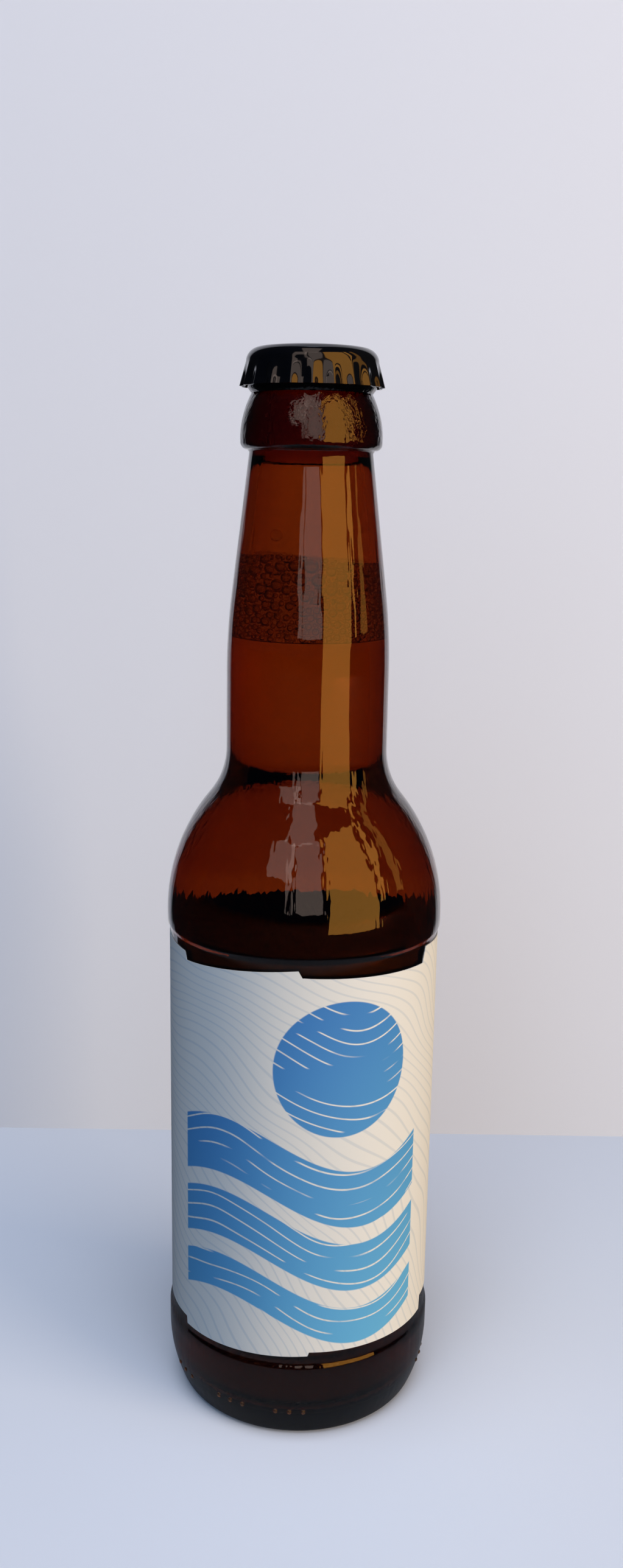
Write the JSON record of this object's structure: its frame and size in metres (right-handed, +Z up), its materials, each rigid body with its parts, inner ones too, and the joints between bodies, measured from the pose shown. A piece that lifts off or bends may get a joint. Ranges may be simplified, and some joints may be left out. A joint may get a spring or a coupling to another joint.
{
  "type": "beer bottle",
  "caption": "Capped long-neck amber glass bottle of beer with a wrap-round paper label and foam in the neck.",
  "frame": {"origin": "centre of the base, on the standing surface", "axes": "+Z up along the bottle's axis, the front of the label faces -Y, +X to the right of a person facing it"},
  "size_m": [0.0604, 0.0602, 0.2321],
  "materials": {
    "amber_glass": "clear amber container glass, smooth, with a lightly rippled collar",
    "beer": "clear golden beer seen through amber glass",
    "foam": "loose bubbles seen through amber glass",
    "cap_lacquer": "glossy black lacquer on tinplate",
    "label_paper": "uncoated ivory label paper with blue print"
  },
  "bodies": {
    "root": {"bottle": "amber_glass", "beer": "beer", "foam": "foam", "crown_cap": "cap_lacquer", "label": "label_paper"}
  },
  "joints": []
}
